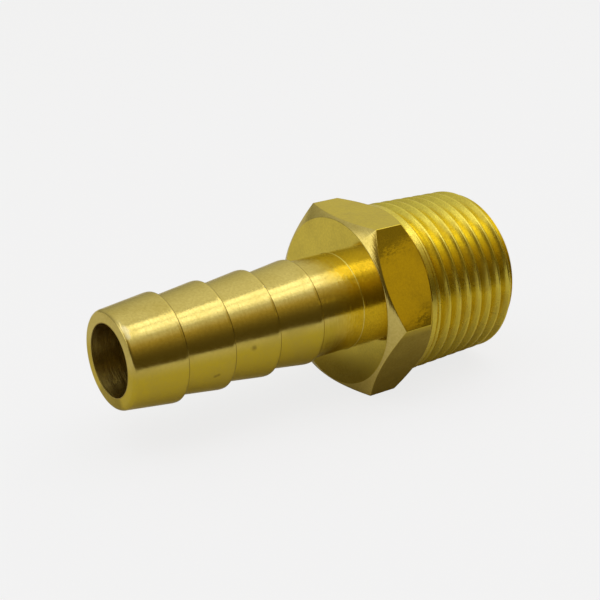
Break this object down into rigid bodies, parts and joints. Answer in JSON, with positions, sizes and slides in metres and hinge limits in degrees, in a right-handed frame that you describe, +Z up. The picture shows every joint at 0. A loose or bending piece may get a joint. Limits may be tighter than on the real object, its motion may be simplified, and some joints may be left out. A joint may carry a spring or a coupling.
{
  "type": "hose barb tail",
  "caption": "Straight brass hose tail: a ridged spigot for a push-on hose, a chamfered spanner hexagon and a male taper pipe thread around one through bore.",
  "frame": {"origin": "middle of the bounding box's bottom face: the fitting lies on one flat of its hexagon on Z = 0, and X = 0 is half of its length", "axes": "+X along the fitting's axis from the hose mouth to the thread's end face, +Z up from the flat that it lies on"},
  "size_m": [0.0412, 0.0196, 0.017],
  "materials": {
    "turned_brass": "bright machined brass, fine turning marks, unlacquered"
  },
  "bodies": {
    "root": {"hose_tail": "turned_brass"}
  },
  "joints": []
}
